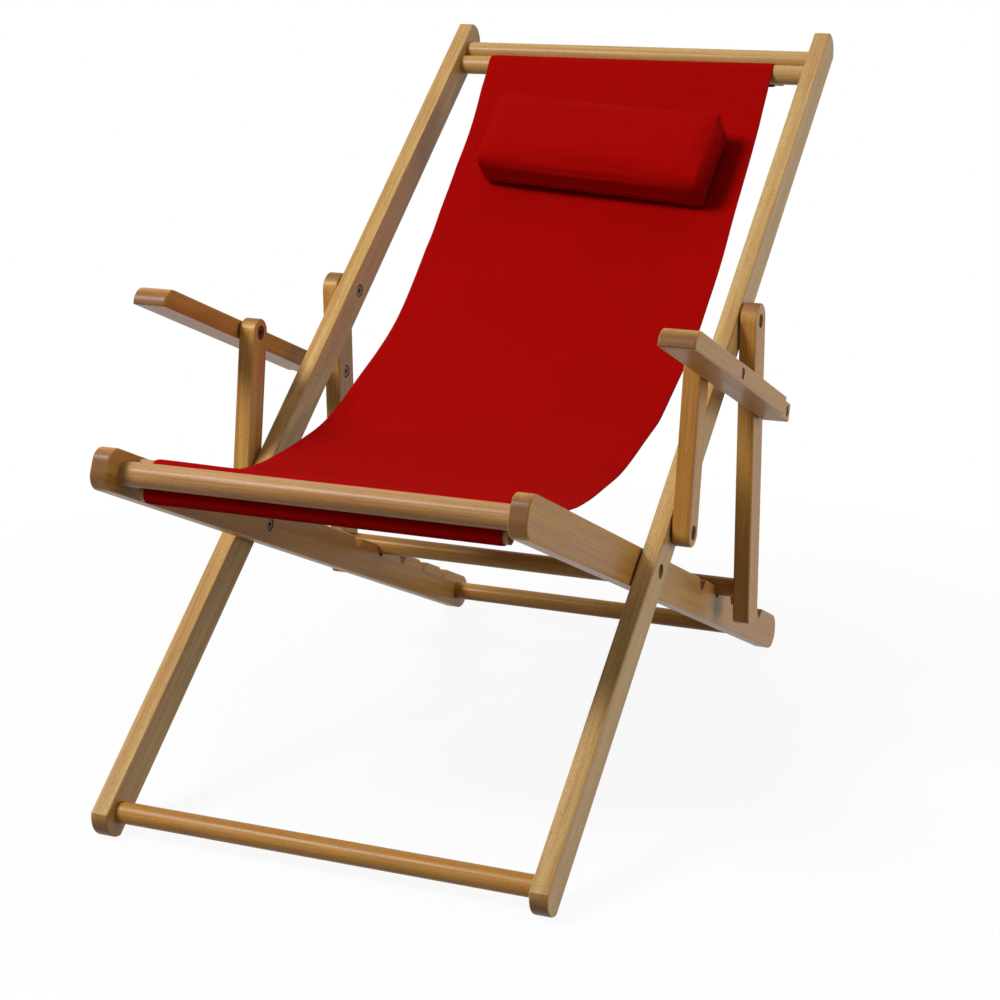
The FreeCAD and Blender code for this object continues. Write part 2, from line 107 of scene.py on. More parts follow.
def mixColour(tree, factor, first, second):
    node = addNode(tree, "ShaderNodeMix", data_type="RGBA")
    kinds = {"Factor": "VALUE", "A": "RGBA", "B": "RGBA"}
    for name, value in (("Factor", factor), ("A", first), ("B", second)):
        slot = [s for s in node.inputs if s.name == name and s.type == kinds[name]][0]
        if isinstance(value, tuple):
            slot.default_value = value
        else:
            tree.links.new(value, slot)
    return [s for s in node.outputs if s.type == "RGBA"][0]


def newMaterial(name):
    material = bpy.data.materials.new(name)
    material.use_nodes = True
    tree = material.node_tree
    return material, tree, tree.nodes["Principled BSDF"]


# Lacquered hardwood: the grain runs along the vector's X
woodLook = {
    "pale": (0.59, 0.330, 0.082, 1.0),
    "warm": (0.42, 0.180, 0.031, 1.0),
    "lightPale": (0.62, 0.420, 0.165, 1.0),
    "lightWarm": (0.46, 0.245, 0.066, 1.0),
    "dowelPale": (0.52, 0.298, 0.122, 1.0),
    "dowelWarm": (0.37, 0.168, 0.049, 1.0),
    "pore": (0.21, 0.074, 0.014, 1.0),
    "endGrain": (0.16, 0.058, 0.014, 1.0),
    "boardScale": (0.9, 16.0, 16.0),
    "bandScale": (2.2, 85.0, 85.0),
    "streakScale": (9.0, 420.0, 420.0),
    "poreScale": (55.0, 1500.0, 1500.0),
    "fleckScale": (290.0, 1500.0, 1500.0),
    "boardShare": 0.42,
    "streakShare": 0.44,
    "poreShare": 0.45,
    "fleckShare": 0.70,
    "endShare": 0.85,
    "streakRelief": 0.6,
    "roughness": (0.36, 0.50),
    "specular": 0.17,
    "coat": 0.10,
    "coatRoughness": 0.18,
    "bump": 0.10,
    "bumpDepth": 0.0006,
}


def makeWoodGroup():
    group = bpy.data.node_groups.new("woodGrain", "ShaderNodeTree")
    socket(group, "Vector", "NodeSocketVector", "INPUT")
    socket(group, "End", "NodeSocketFloat", "INPUT", 0.0)
    socket(group, "Pale", "NodeSocketColor", "INPUT", woodLook["pale"])
    socket(group, "Warm", "NodeSocketColor", "INPUT", woodLook["warm"])
    socket(group, "Color", "NodeSocketColor", "OUTPUT")
    socket(group, "Height", "NodeSocketFloat", "OUTPUT")
    socket(group, "Roughness", "NodeSocketFloat", "OUTPUT")
    entry = addNode(group, "NodeGroupInput")
    leave = addNode(group, "NodeGroupOutput")
    vector = entry.outputs["Vector"]
    board = scaledNoise(group, vector, woodLook["boardScale"], 2.0)
    bands = scaledNoise(group, vector, woodLook["bandScale"], 4.0, 0.6)
    streaks = scaledNoise(group, vector, woodLook["streakScale"], 3.0, 0.6)
    pores = scaledNoise(group, vector, woodLook["poreScale"], 2.0, 0.7)
    flecks = scaledNoise(group, vector, woodLook["fleckScale"], 1.0)
    tone = mapRange(group, bands, (0.34, 0.66), (0.0, 1.0))
    colour = mixColour(group, tone, entry.outputs["Warm"], entry.outputs["Pale"])
    broad = mapRange(group, board, (0.3, 0.7), (0.0, woodLook["boardShare"]))
    colour = mixColour(group, broad, colour, entry.outputs["Warm"])
    fine = mapRange(group, streaks, (0.42, 0.75), (0.0, woodLook["streakShare"]))
    dots = mapRange(group, pores, (0.60, 0.74), (0.0, woodLook["poreShare"]))
    fleck = mapRange(group, flecks, (0.60, 0.72), (0.0, woodLook["fleckShare"]))
    for dark in (fine, dots, fleck):
        colour = mixColour(group, dark, colour, woodLook["pore"])
    ends = mapRange(group, entry.outputs["End"], (0.5, 0.95), (0.0, woodLook["endShare"]))
    colour = mixColour(group, ends, colour, woodLook["endGrain"])
    group.links.new(colour, leave.inputs["Color"])
    relief = mathNode(group, "MULTIPLY", streaks, woodLook["streakRelief"])
    group.links.new(mathNode(group, "SUBTRACT", relief, dots), leave.inputs["Height"])
    group.links.new(mapRange(group, bands, (0.3, 0.7), woodLook["roughness"]), leave.inputs["Roughness"])
    return group


woodGroup = makeWoodGroup()


def makeWood(name, along, offset, pale="pale", warm="warm"):
    side = Vector((1, 0, 0)) if abs(along.x) < 0.5 else Vector((0, 0, 1))
    up = side.cross(along).normalized()
    rows = Matrix((along, up, along.cross(up)))
    material, tree, shader = newMaterial(name)
    coords = addNode(tree, "ShaderNodeTexCoord")
    mapping = addNode(tree, "ShaderNodeMapping")
    setInputs(mapping, Rotation=rows.to_euler("XYZ"), Location=offset)
    tree.links.new(coords.outputs["Object"], mapping.inputs["Vector"])
    facing = addNode(tree, "ShaderNodeVectorMath", operation="DOT_PRODUCT")
    facing.inputs[1].default_value = along
    tree.links.new(coords.outputs["Normal"], facing.inputs[0])
    end = mathNode(tree, "ABSOLUTE", facing.outputs["Value"], 0.0)
    grain = addNode(tree, "ShaderNodeGroup", node_tree=woodGroup)
    tree.links.new(mapping.outputs[0], grain.inputs["Vector"])
    tree.links.new(end, grain.inputs["End"])
    setInputs(grain, Pale=woodLook[pale], Warm=woodLook[warm])
    bump = addNode(tree, "ShaderNodeBump")
    setInputs(bump, Strength=woodLook["bump"], Distance=woodLook["bumpDepth"])
    tree.links.new(grain.outputs["Height"], bump.inputs["Height"])
    tree.links.new(grain.outputs["Color"], shader.inputs["Base Color"])
    tree.links.new(grain.outputs["Roughness"], shader.inputs["Roughness"])
    tree.links.new(bump.outputs[0], shader.inputs["Normal"])
    shader.inputs["Specular IOR Level"].default_value = woodLook["specular"]
    shader.inputs["Coat Weight"].default_value = woodLook["coat"]
    shader.inputs["Coat Roughness"].default_value = woodLook["coatRoughness"]
    return material


# Plated steel of the pivots: dark bolts, bronzed nuts
steelLook = {
    "cloudScale": (260.0, 260.0, 260.0),
    "scratchScale": (300.0, 4000.0, 900.0),
    "roughness": (0.28, 0.5),
}
boltLook = {"bright": (0.13, 0.075, 0.048, 1.0), "dull": (0.045, 0.026, 0.017, 1.0)}
nutLook = {"bright": (0.42, 0.29, 0.14, 1.0), "dull": (0.25, 0.16, 0.07, 1.0)}


def makeSteel(name, look):
    material, tree, shader = newMaterial(name)
    coords = addNode(tree, "ShaderNodeTexCoord")
    cloudy = scaledNoise(tree, coords.outputs["Object"], steelLook["cloudScale"], 3.0)
    scratch = scaledNoise(tree, coords.outputs["Object"], steelLook["scratchScale"], 2.0)
    tone = mapRange(tree, cloudy, (0.35, 0.65), (0.0, 1.0))
    tree.links.new(mixColour(tree, tone, look["dull"], look["bright"]), shader.inputs["Base Color"])
    tree.links.new(mapRange(tree, scratch, (0.3, 0.7), steelLook["roughness"]), shader.inputs["Roughness"])
    shader.inputs["Metallic"].default_value = 1.0
    return material


# Red cotton canvas, plain weave
canvasLook = {
    "red": (0.385, 0.0013, 0.0005, 1.0),
    "deep": (0.265, 0.0008, 0.0003, 1.0),
    "thread": 0.00085,
    "warpScale": (900.0, 14.0, 1.0),
    "weftScale": (14.0, 900.0, 1.0),
    "cloudScale": (9.0, 9.0, 9.0),
    "slubShare": 0.55,
    "cloudShare": 0.22,
    "weaveShare": 0.16,
    "sheen": 0.02,
    "sheenTint": (1.0, 0.12, 0.08, 1.0),
    "specular": 0.04,
    "roughness": 0.92,
    "bump": 0.35,
    "bumpDepth": 0.0003,
}


def makeCanvasGroup():
    group = bpy.data.node_groups.new("plainWeave", "ShaderNodeTree")
    socket(group, "Vector", "NodeSocketVector", "INPUT")
    socket(group, "Color", "NodeSocketColor", "OUTPUT")
    socket(group, "Height", "NodeSocketFloat", "OUTPUT")
    entry = addNode(group, "NodeGroupInput")
    leave = addNode(group, "NodeGroupOutput")
    vector = entry.outputs["Vector"]
    split = addNode(group, "ShaderNodeSeparateXYZ")
    group.links.new(vector, split.inputs[0])
    turns = math.pi / canvasLook["thread"]
    across = mathNode(group, "SINE", mathNode(group, "MULTIPLY", split.outputs["X"], turns), 0.0)
    along = mathNode(group, "SINE", mathNode(group, "MULTIPLY", split.outputs["Y"], turns), 0.0)
    weave = mathNode(group, "MULTIPLY", across, along)
    warp = scaledNoise(group, vector, canvasLook["warpScale"], 2.0)
    weft = scaledNoise(group, vector, canvasLook["weftScale"], 2.0)
    slub = mathNode(group, "ADD", warp, weft)
    cloudy = scaledNoise(group, vector, canvasLook["cloudScale"], 4.0)
    colour = canvasLook["red"]
    for value, span, result in ((slub, (0.7, 1.3), (0.0, canvasLook["slubShare"])),
                                (cloudy, (0.3, 0.7), (0.0, canvasLook["cloudShare"])),
                                (weave, (-1.0, 1.0), (canvasLook["weaveShare"], 0.0))):
        colour = mixColour(group, mapRange(group, value, span, result), colour, canvasLook["deep"])
    group.links.new(colour, leave.inputs["Color"])
    group.links.new(mathNode(group, "ADD", weave, slub), leave.inputs["Height"])
    return group


canvasGroup = makeCanvasGroup()


def makeCanvas(name):
    material, tree, shader = newMaterial(name)
    coords = addNode(tree, "ShaderNodeUVMap", uv_map="cloth")
    weave = addNode(tree, "ShaderNodeGroup", node_tree=canvasGroup)
    tree.links.new(coords.outputs[0], weave.inputs["Vector"])
    bump = addNode(tree, "ShaderNodeBump")
    setInputs(bump, Strength=canvasLook["bump"], Distance=canvasLook["bumpDepth"])
    tree.links.new(weave.outputs["Height"], bump.inputs["Height"])
    tree.links.new(weave.outputs["Color"], shader.inputs["Base Color"])
    tree.links.new(bump.outputs[0], shader.inputs["Normal"])
    shader.inputs["Roughness"].default_value = canvasLook["roughness"]
    shader.inputs["Specular IOR Level"].default_value = canvasLook["specular"]
    shader.inputs["Sheen Weight"].default_value = canvasLook["sheen"]
    shader.inputs["Sheen Tint"].default_value = canvasLook["sheenTint"]
    return material


# Sewing thread in the cloth's red
threadLook = {
    "light": (0.40, 0.0018, 0.0007, 1.0),
    "dark": (0.27, 0.0012, 0.0005, 1.0),
    "plyScale": (1600.0, 1600.0, 1600.0),
    "roughness": 0.8,
    "specular": 0.05,
}


def makeThread(name):
    material, tree, shader = newMaterial(name)
    coords = addNode(tree, "ShaderNodeTexCoord")
    ply = scaledNoise(tree, coords.outputs["Object"], threadLook["plyScale"], 2.0)
    tone = mapRange(tree, ply, (0.35, 0.65), (0.0, 1.0))
    colour = mixColour(tree, tone, threadLook["dark"], threadLook["light"])
    tree.links.new(colour, shader.inputs["Base Color"])
    shader.inputs["Roughness"].default_value = threadLook["roughness"]
    shader.inputs["Specular IOR Level"].default_value = threadLook["specular"]
    return material


canvas = makeCanvas("redCanvas")
thread = makeThread("redThread")
boltSteel = makeSteel("darkSteel", boltLook)
nutSteel = makeSteel("bronzedSteel", nutLook)


def centreOf(node):
    low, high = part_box(node)
    return Vector(((low[0] + high[0]) / 2, (low[1] + high[1]) / 2, (low[2] + high[2]) / 2))


def sideWay(start, end):
    way = end - start
    way.x = 0
    return way.normalized()


def dress(nodes, material):
    for name in nodes:
        mesh = frame["nodes"][name].data
        mesh.materials.clear()
        mesh.materials.append(material)


# Grain directions of the boards, in the side plane
jointAt = {joint["name"]: Vector(joint["pos_m"]) for joint in frame["record"]["behaviour"]["joints"]}
railWay = sideWay(centreOf("foot_dowel"), centreOf("top_rod_rear"))
seatWay = sideWay(centreOf("front_dowel"), centreOf("rear_dowel"))
frontWay = sideWay(centreOf("front_dowel"), centreOf("front_dowel_inner"))
strutWay = sideWay(jointAt["prop_swing"], centreOf("prop_crossbar"))
postWay = sideWay(jointAt["post_swing_right"], centreOf("arm_front_bolt_right"))
armWay = sideWay(centreOf("arm_front_bolt_right"), jointAt["arm_swing_right"])
acrossWay = Vector((1, 0, 0))

dress(["long_rail_right", "long_rail_left"],
      makeWood("woodLongRail", railWay, (0.0, 0.0, 0.0), "lightPale", "lightWarm"))
dress(["seat_rail_right", "seat_rail_left"], makeWood("woodSeatRail", seatWay, (0.7, 0.2, 0.1)))
dress(["strut_right", "strut_left"], makeWood("woodStrut", strutWay, (1.3, 0.5, 0.3)))
dress(["post_right", "post_left"], makeWood("woodPost", postWay, (2.1, 0.9, 0.2)))
dress(["arm_right", "arm_left"], makeWood("woodArm", armWay, (3.4, 0.1, 0.8)))
dress(["foot_dowel", "rear_dowel", "prop_crossbar"], makeWood("woodDowel", acrossWay, (4.2, 0.6, 0.4)))
dress(["front_dowel", "front_dowel_inner"],
      makeWood("woodFrontDowel", acrossWay, (4.2, 0.6, 0.4), "dowelPale", "dowelWarm"))
dress(["top_rod_front", "top_rod_rear", "sling_rod_top", "sling_rod_front"],
      makeWood("woodRod", acrossWay, (5.1, 0.3, 0.7), "lightPale", "lightWarm"))
dress([name for name in frame["nodes"] if name.split("_")[-1] in ("bolts", "nuts", "washers")
       or name.startswith("arm_front")], boltSteel)
dress(["seat_pivot_nuts", "post_pivot_nuts", "prop_pivot_nuts"], nutSteel)
print("wood and steel set")


# The sling in metres: the same line in the side plane as the solid
slingShape = {
    "width": 0.410,
    "thickness": 0.0016,
    "clearance": 0.0003,
    "lowFront": 0.039,
    "lowRise": 0.092,
    "seatRadius": 0.640,
    "turn": 38.0,
    "step": 0.009,
    "stepTurn": 0.22,  # largest turn of an arc's step, radians
    "sleeveTurn": 1.93,  # in half circles
    "columns": 36,
    "hem": 0.022,
    "hemFold": 0.0012,
    "hemExtra": 0.0011,
    "hemClear": 0.03,  # no extra layer this near the rods
    "edgeRound": 0.003,
    "edgeDrop": 0.0005,
    "edgeMark": 0.002,  # width of the cut edge on the weave's map
    "settle": 0.12,  # run from a rod to the free cloth
    "crossSag": 0.004,
    "pleat": 0.00112,
    "pleatReach": 0.09,
    "billow": 0.0014,
    "edgeWave": 0.0045,
    "edgeFlutter": 0.0040,
    "cornerDraw": 0.006,
    "cornerReach": 0.045,
    "cornerRun": 0.04,
}


def flat(v):
    return Vector((v.y, v.z))


def angleOf(v):
    return math.atan2(v.y, v.x)


def arcPoints(centre, radius, start, end):
    sweep = abs(end - start)
    count = max(3, int(sweep * radius / slingShape["step"]) + 1, int(sweep / slingShape["stepTurn"]) + 1)
    angles = [start + (end - start) * i / count for i in range(count + 1)]
    return [centre + Vector((math.cos(a), math.sin(a))) * radius for a in angles]


halfCloth = slingShape["thickness"] / 2


def wrapRadius(node):
    low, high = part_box(node)
    return (high[2] - low[2]) / 2 + slingShape["clearance"] + halfCloth


topRod = flat(centreOf("top_rod_front"))
frontRod = flat(centreOf("front_dowel_inner"))
topSleeve = flat(centreOf("sling_rod_top"))
frontSleeve = flat(centreOf("sling_rod_front"))
topWrap = wrapRadius("top_rod_front")
frontWrap = wrapRadius("front_dowel_inner")
sleeveRadius = wrapRadius("sling_rod_top")

seatPivot = flat(jointAt["seat_fold"])
lowPoint = seatPivot + Vector((-slingShape["lowFront"], slingShape["lowRise"]))
fromFront = lowPoint - frontRod
frontRadius = (fromFront.length_squared - frontWrap ** 2) / (2 * (frontWrap - fromFront.y))
frontCentre = lowPoint + Vector((0, frontRadius))
seatCentre = lowPoint + Vector((0, slingShape["seatRadius"]))
turn = math.radians(slingShape["turn"])
turnNormal = Vector((-math.sin(turn), math.cos(turn)))
turnPoint = seatCentre - turnNormal * slingShape["seatRadius"]
fromTop = turnPoint - topRod
backRadius = (fromTop.length_squared - topWrap ** 2) / (2 * (topWrap - fromTop.dot(turnNormal)))
backCentre = turnPoint + turnNormal * backRadius
frontLeave = angleOf(frontCentre - frontRod)
topMeet = angleOf(backCentre - topRod)
frontDown = angleOf(-flat(frontWay))
railAngle = angleOf(flat(railWay))


def sleeveTurn(centre, meeting, way):
    start = angleOf(meeting - centre)
    return arcPoints(centre, sleeveRadius, start, start + way * slingShape["sleeveTurn"] * math.pi)


def sleeveMeeting(centre, start, way):
    normal = Vector((-way.y, way.x))
    aside = (start - centre) - normal * (start - centre).dot(normal)
    return centre + aside + normal * math.sqrt(max(0.0, sleeveRadius ** 2 - aside.length_squared))


def slingLine():
    frontStart = frontRod - flat(frontWay) * frontWrap
    topStart = topRod + flat(railWay) * topWrap
    frontMeet = sleeveMeeting(frontSleeve, frontStart, flat(frontWay))
    topEnd = sleeveMeeting(topSleeve, topStart, flat(railWay))
    runs = [
        list(reversed(sleeveTurn(frontSleeve, frontMeet, -1))),
        arcPoints(frontRod, frontWrap, frontDown, frontLeave),
        arcPoints(frontCentre, frontRadius, frontLeave - math.pi, -math.pi / 2),
        arcPoints(seatCentre, slingShape["seatRadius"], -math.pi / 2, turn - math.pi / 2),
        arcPoints(backCentre, backRadius, turn - math.pi / 2, topMeet - math.pi),
        arcPoints(topRod, topWrap, topMeet, railAngle),
        sleeveTurn(topSleeve, topEnd, 1),
    ]
    points = []
    for run in runs:
        for point in run:
            if not points or (point - points[-1]).length > 1e-5:
                points.append(point)
    return points


def lineFrames(points):
    lengths = [0.0]
    for i in range(1, len(points)):
        lengths.append(lengths[-1] + (points[i] - points[i - 1]).length)
    normals = []
    for i in range(len(points)):
        way = (points[min(i + 1, len(points) - 1)] - points[max(i - 1, 0)]).normalized()
        normals.append(Vector((-way.y, way.x)))
    return lengths, normals


slingPoints = slingLine()
slingLengths, slingNormals = lineFrames(slingPoints)
openStart = slingLengths[[(p - frontRod).length <= frontWrap + 1e-4 for p in slingPoints].index(True)]
openEnd = max(s for s, p in zip(slingLengths, slingPoints) if (p - topRod).length <= topWrap + 1e-4)

# Lock stitches along the hems: the profile gives place, size and lift of each ring
stitchShape = {
    "pitch": 0.0062,
    "length": 0.0042,
    "radius": 0.00024,
    "inset": 0.018,
    "endGap": 0.012,
    "dip": 0.00006,
    "dipWidth": 0.0022,
    "sides": 5,
    "profile": ((0.0, 0.35, -0.6), (0.2, 0.95, 0.45), (0.5, 1.0, 0.7), (0.8, 0.95, 0.45), (1.0, 0.35, -0.6)),
}


def hemColumns():
    half = slingShape["width"] / 2
    hem, fold, count = slingShape["hem"], slingShape["hemFold"], slingShape["columns"]
    edge = [half - inset for inset in (0.0, 0.0008, 0.003, 0.009, 0.015, hem - fold, hem + fold, hem + 0.006)]
    inner = edge[-1] - 0.008
    middle = [inner * (2 * i / count - 1) for i in range(count + 1)]
    return [-x for x in edge] + middle + list(reversed(edge))


def clothPlace(s, x, point, normal):
    settle, reach = slingShape["settle"], slingShape["pleatReach"]
    rim = (2 * x / slingShape["width"]) ** 2
    share = min(1.0, max(0.0, (s - openStart) / settle), max(0.0, (openEnd - s) / settle))
    free = share * share * (3 - 2 * share)
    lift = -slingShape["crossSag"] * (1 - rim) * free
    nearRod = math.exp(-max(0.0, openEnd - s) / reach) + math.exp(-max(0.0, s - openStart) / reach)
    pleat = noise.noise(Vector((x * 34.0, s * 3.0, 0.0))) * slingShape["pleat"] * nearRod
    billow = noise.noise(Vector((x * 7.0, s * 5.0, 4.0))) * slingShape["billow"]
    lift += (pleat + billow) * min(1.0, free * 1.5)
    seed = 2.3 if x > 0 else 7.9
    lift += noise.noise(Vector((s * 9.0, seed, 1.0))) * slingShape["edgeFlutter"] * rim * rim * free
    wave = noise.noise(Vector((s * 7.0, seed, 5.0))) * slingShape["edgeWave"] * rim * free
    corner = min(1.0, max(0.0, (s - openEnd + slingShape["cornerReach"]) / slingShape["cornerRun"]))
    inward = abs(wave) + slingShape["cornerDraw"] * rim * corner * corner
    spot = point + normal * lift
    return Vector((x - math.copysign(inward, x), spot.x, spot.y)), Vector((0, normal.x, normal.y))


def clothLayers(s, x, point, normal):
    place, out = clothPlace(s, x, point, normal)
    inset = slingShape["width"] / 2 - abs(x)
    drop = max(0.0, 1 - inset / slingShape["edgeRound"]) * slingShape["edgeDrop"]
    dip = math.exp(-((inset - stitchShape["inset"]) / stitchShape["dipWidth"]) ** 2) * stitchShape["dip"]
    clear = slingShape["hemClear"]
    folded = inset < slingShape["hem"] and openStart + clear <= s <= openEnd - clear
    extra = slingShape["hemExtra"] if folded else 0.0
    return place + out * (halfCloth - drop - dip), place - out * (halfCloth + extra - drop)


def meshPiece(name, bm, material):
    mesh = bpy.data.meshes.new(name)
    bm.to_mesh(mesh)
    bm.free()
    mesh.materials.append(material)
    piece = bpy.data.objects.new(name, mesh)
    scene.collection.objects.link(piece)
    return piece


def buildSling():
    columns = hemColumns()
    across, along = len(columns) - 1, len(slingPoints) - 1
    bm = bmesh.new()
    uvLayer = bm.loops.layers.uv.new("cloth")
    bmesh.ops.create_grid(bm, x_segments=across, y_segments=along, size=1.0)
    doubled = bmesh.ops.extrude_face_region(bm, geom=bm.faces[:])
    under = {part for part in doubled["geom"] if isinstance(part, bmesh.types.BMVert)}
    marks = {}
    for vert in bm.verts:
        column = round((vert.co.x + 1) / 2 * across)
        row = round((vert.co.y + 1) / 2 * along)
        x, s = columns[column], slingLengths[row]
        marks[vert] = (x, s)
        upper, lower = clothLayers(s, x, slingPoints[row], slingNormals[row])
        vert.co = lower if vert in under else upper
    for face in bm.faces:
        face.smooth = True
        cutEdge = 0 < sum(vert in under for vert in face.verts) < len(face.verts)
        sideEdge = len({marks[vert][0] for vert in face.verts}) == 1
        for loop in face.loops:
            x, s = marks[loop.vert]
            if cutEdge and loop.vert in under:
                x += slingShape["edgeMark"] if sideEdge else 0.0
                s += 0.0 if sideEdge else slingShape["edgeMark"]
            loop[uvLayer].uv = (x, s)
    bmesh.ops.recalc_face_normals(bm, faces=bm.faces)
    return meshPiece("slingCloth", bm, canvas)


def addRing(bm, centre, way, normal, radius, sides, capped=False):
    side = way.cross(normal).normalized()
    turned = Matrix((-normal, side, way)).transposed().to_4x4()
    made = bmesh.ops.create_circle(bm, cap_ends=capped, segments=sides, radius=radius,
                                   matrix=Matrix.Translation(centre) @ turned)
    return list(dict.fromkeys(edge for vert in made["verts"] for edge in vert.link_edges))


def joinRings(bm, first, second):
    for face in bmesh.ops.bridge_loops(bm, edges=first + second)["faces"]:
        face.smooth = True


def addStitch(bm, start, end, normal):
    way = (end - start).normalized()
    radius = stitchShape["radius"]
    rings = []
    for share, size, lift in stitchShape["profile"]:
        centre = start.lerp(end, share) + normal * lift * radius
        capped = share in (0.0, 1.0)
        rings.append(addRing(bm, centre, way, normal, radius * size, stitchShape["sides"], capped))
    for first, second in zip(rings, rings[1:]):
        joinRings(bm, first, second)


def alongSling(s):
    for i in range(1, len(slingLengths)):
        if slingLengths[i] >= s:
            share = (s - slingLengths[i - 1]) / (slingLengths[i] - slingLengths[i - 1])
            point = slingPoints[i - 1].lerp(slingPoints[i], share)
            normal = slingNormals[i - 1].lerp(slingNormals[i], share).normalized()
            return point, normal
    return slingPoints[-1], slingNormals[-1]


def clothTop(s, x):
    point, normal = alongSling(s)
    place, out = clothPlace(s, x, point, normal)
    return place + out * halfCloth, out


def buildHemStitches():
    bm = bmesh.new()
    s = openStart + stitchShape["endGap"]
    while s < openEnd - stitchShape["endGap"]:
        for sign in (-1, 1):
            x = sign * (slingShape["width"] / 2 - stitchShape["inset"])
            start, out = clothTop(s, x)
            end, _ = clothTop(s + stitchShape["length"], x)
            addStitch(bm, start, end, out)
        s += stitchShape["pitch"]
    bmesh.ops.recalc_face_normals(bm, faces=bm.faces)
    return meshPiece("slingHemStitches", bm, thread)


sling = buildSling()
hemStitches = buildHemStitches()


# Head pillow on the cloth of the upper back
pillowShape = {
    "width": 0.322,
    "height": 0.121,
    "thickness": 0.058,
    "fromRod": 0.100,
    "tilt": 4.3,
    "aside": 0.0075,
    "edge": 0.004,
    "lowerRoll": 0.015,
    "topBow": 0.006,
    "footDraw": 0.002,
    "sideDraw": 0.004,
    "swellRoom": 0.0025,
    "voxel": 0.0034,
    "pressure": 2.5,
    "stiffness": 25,
    "bending": 1.2,
    "quality": 5,
    "frames": 16,
    "cap": 0.006,
    "underHold": 0.8,  # share of the swelling held back on the underside
    "underStart": 0.6,
    "underRun": 0.3,
    "crease": 0.0012,
    "creaseScale": 22.0,
    "lowest": 0.0012,
    "crown": 0.004,
    "bedGap": 0.0006,
}
pillowAngle = topMeet - math.pi - (pillowShape["fromRod"] + pillowShape["height"] / 2) / backRadius
pillowOut = -Vector((math.cos(pillowAngle), math.sin(pillowAngle)))
pillowUp = Vector((pillowOut.y, -pillowOut.x))
sagRadius = backRadius - halfCloth
pillowRise = sagRadius - math.sqrt(sagRadius ** 2 - (pillowShape["height"] / 2) ** 2)
pillowFoot = backCentre - pillowOut * (sagRadius - pillowRise - slingShape["clearance"])
tilt = math.radians(-pillowShape["tilt"])


def pillowSpot(x, h, out):
    turnedX = x * math.cos(tilt) - h * math.sin(tilt)
    turnedH = x * math.sin(tilt) + h * math.cos(tilt)
    spot = pillowFoot + pillowUp * turnedH + pillowOut * out
    return Vector((turnedX + pillowShape["aside"], spot.x, spot.y))


def pillowLocal(place):
    offset = flat(place) - pillowFoot
    turnedX = place.x - pillowShape["aside"]
    turnedH = offset.dot(pillowUp)
    x = turnedX * math.cos(-tilt) - turnedH * math.sin(-tilt)
    h = turnedX * math.sin(-tilt) + turnedH * math.cos(-tilt)
    return x, h, offset.dot(pillowOut)


def rollEdges(bm, edges, offset, segments):
    bmesh.ops.bevel(bm, geom=edges, offset=offset, offset_type="OFFSET", segments=segments,
                    profile=0.5, affect="EDGES", material=-1, clamp_overlap=True)


def pillowBlank():
    room = pillowShape["swellRoom"]
    halfX = pillowShape["width"] / 2 - room
    halfH = pillowShape["height"] / 2 - room
    middle = pillowShape["thickness"] / 2
    bm = bmesh.new()
    bmesh.ops.create_cube(bm, size=1.0)
    for vert in bm.verts:
        vert.co = Vector((vert.co.x * 2 * halfX, vert.co.y * 2 * halfH,
                          middle + vert.co.z * (pillowShape["thickness"] - room)))
    lower = [edge for edge in bm.edges if all(vert.co.y < 0 and vert.co.z > middle for vert in edge.verts)]
    rollEdges(bm, lower, pillowShape["lowerRoll"], 5)
    sharp = [edge for edge in bm.edges if edge.calc_face_angle() > 0.6]
    rollEdges(bm, sharp, pillowShape["edge"], 3)
    for vert in bm.verts:
        x, h, out = vert.co
        drawX = pillowShape["sideDraw"] * (1 - min(1.0, abs(h) / halfH) ** 2)
        bow = -pillowShape["topBow"] if h > 0 else pillowShape["footDraw"]
        drawH = bow * (1 - min(1.0, abs(x) / halfX) ** 2)
        vert.co = pillowSpot(x - math.copysign(drawX, x) * (abs(x) / halfX) ** 4,
                             h - math.copysign(drawH, h) * (abs(h) / halfH) ** 4, out)
    return meshPiece("pillowCushion", bm, canvas)


def applyModifiers(piece):
    graph = bpy.context.evaluated_depsgraph_get()
    mesh = bpy.data.meshes.new_from_object(piece.evaluated_get(graph))
    piece.modifiers.clear()
    old = piece.data
    piece.data = mesh
    bpy.data.meshes.remove(old)


def swellPillow(piece):
    remesh = piece.modifiers.new("remesh", "REMESH")
    remesh.mode = "VOXEL"
    remesh.voxel_size = pillowShape["voxel"]
    applyModifiers(piece)
    rest = [vert.co.copy() for vert in piece.data.vertices]
    cloth = piece.modifiers.new("cloth", "CLOTH")
    cloth.settings.use_pressure = True
    cloth.settings.uniform_pressure_force = pillowShape["pressure"]
    cloth.settings.effector_weights.gravity = 0
    cloth.settings.quality = pillowShape["quality"]
    cloth.settings.tension_stiffness = pillowShape["stiffness"]
    cloth.settings.compression_stiffness = pillowShape["stiffness"]
    cloth.settings.bending_stiffness = pillowShape["bending"]
    cloth.point_cache.frame_start = 1
    cloth.point_cache.frame_end = pillowShape["frames"]
    for step in range(1, pillowShape["frames"] + 1):
        scene.frame_set(step)
    applyModifiers(piece)
    scene.frame_set(1)
    for vert, old in zip(piece.data.vertices, rest):
        move = vert.co - old
        below = -2 * pillowLocal(old)[1] / pillowShape["height"]
        under = min(max((below - pillowShape["underStart"]) / pillowShape["underRun"], 0.0), 1.0)
        limit = pillowShape["cap"] * (1 - pillowShape["underHold"] * under)
        if move.length > limit:
            vert.co = old + move.normalized() * limit


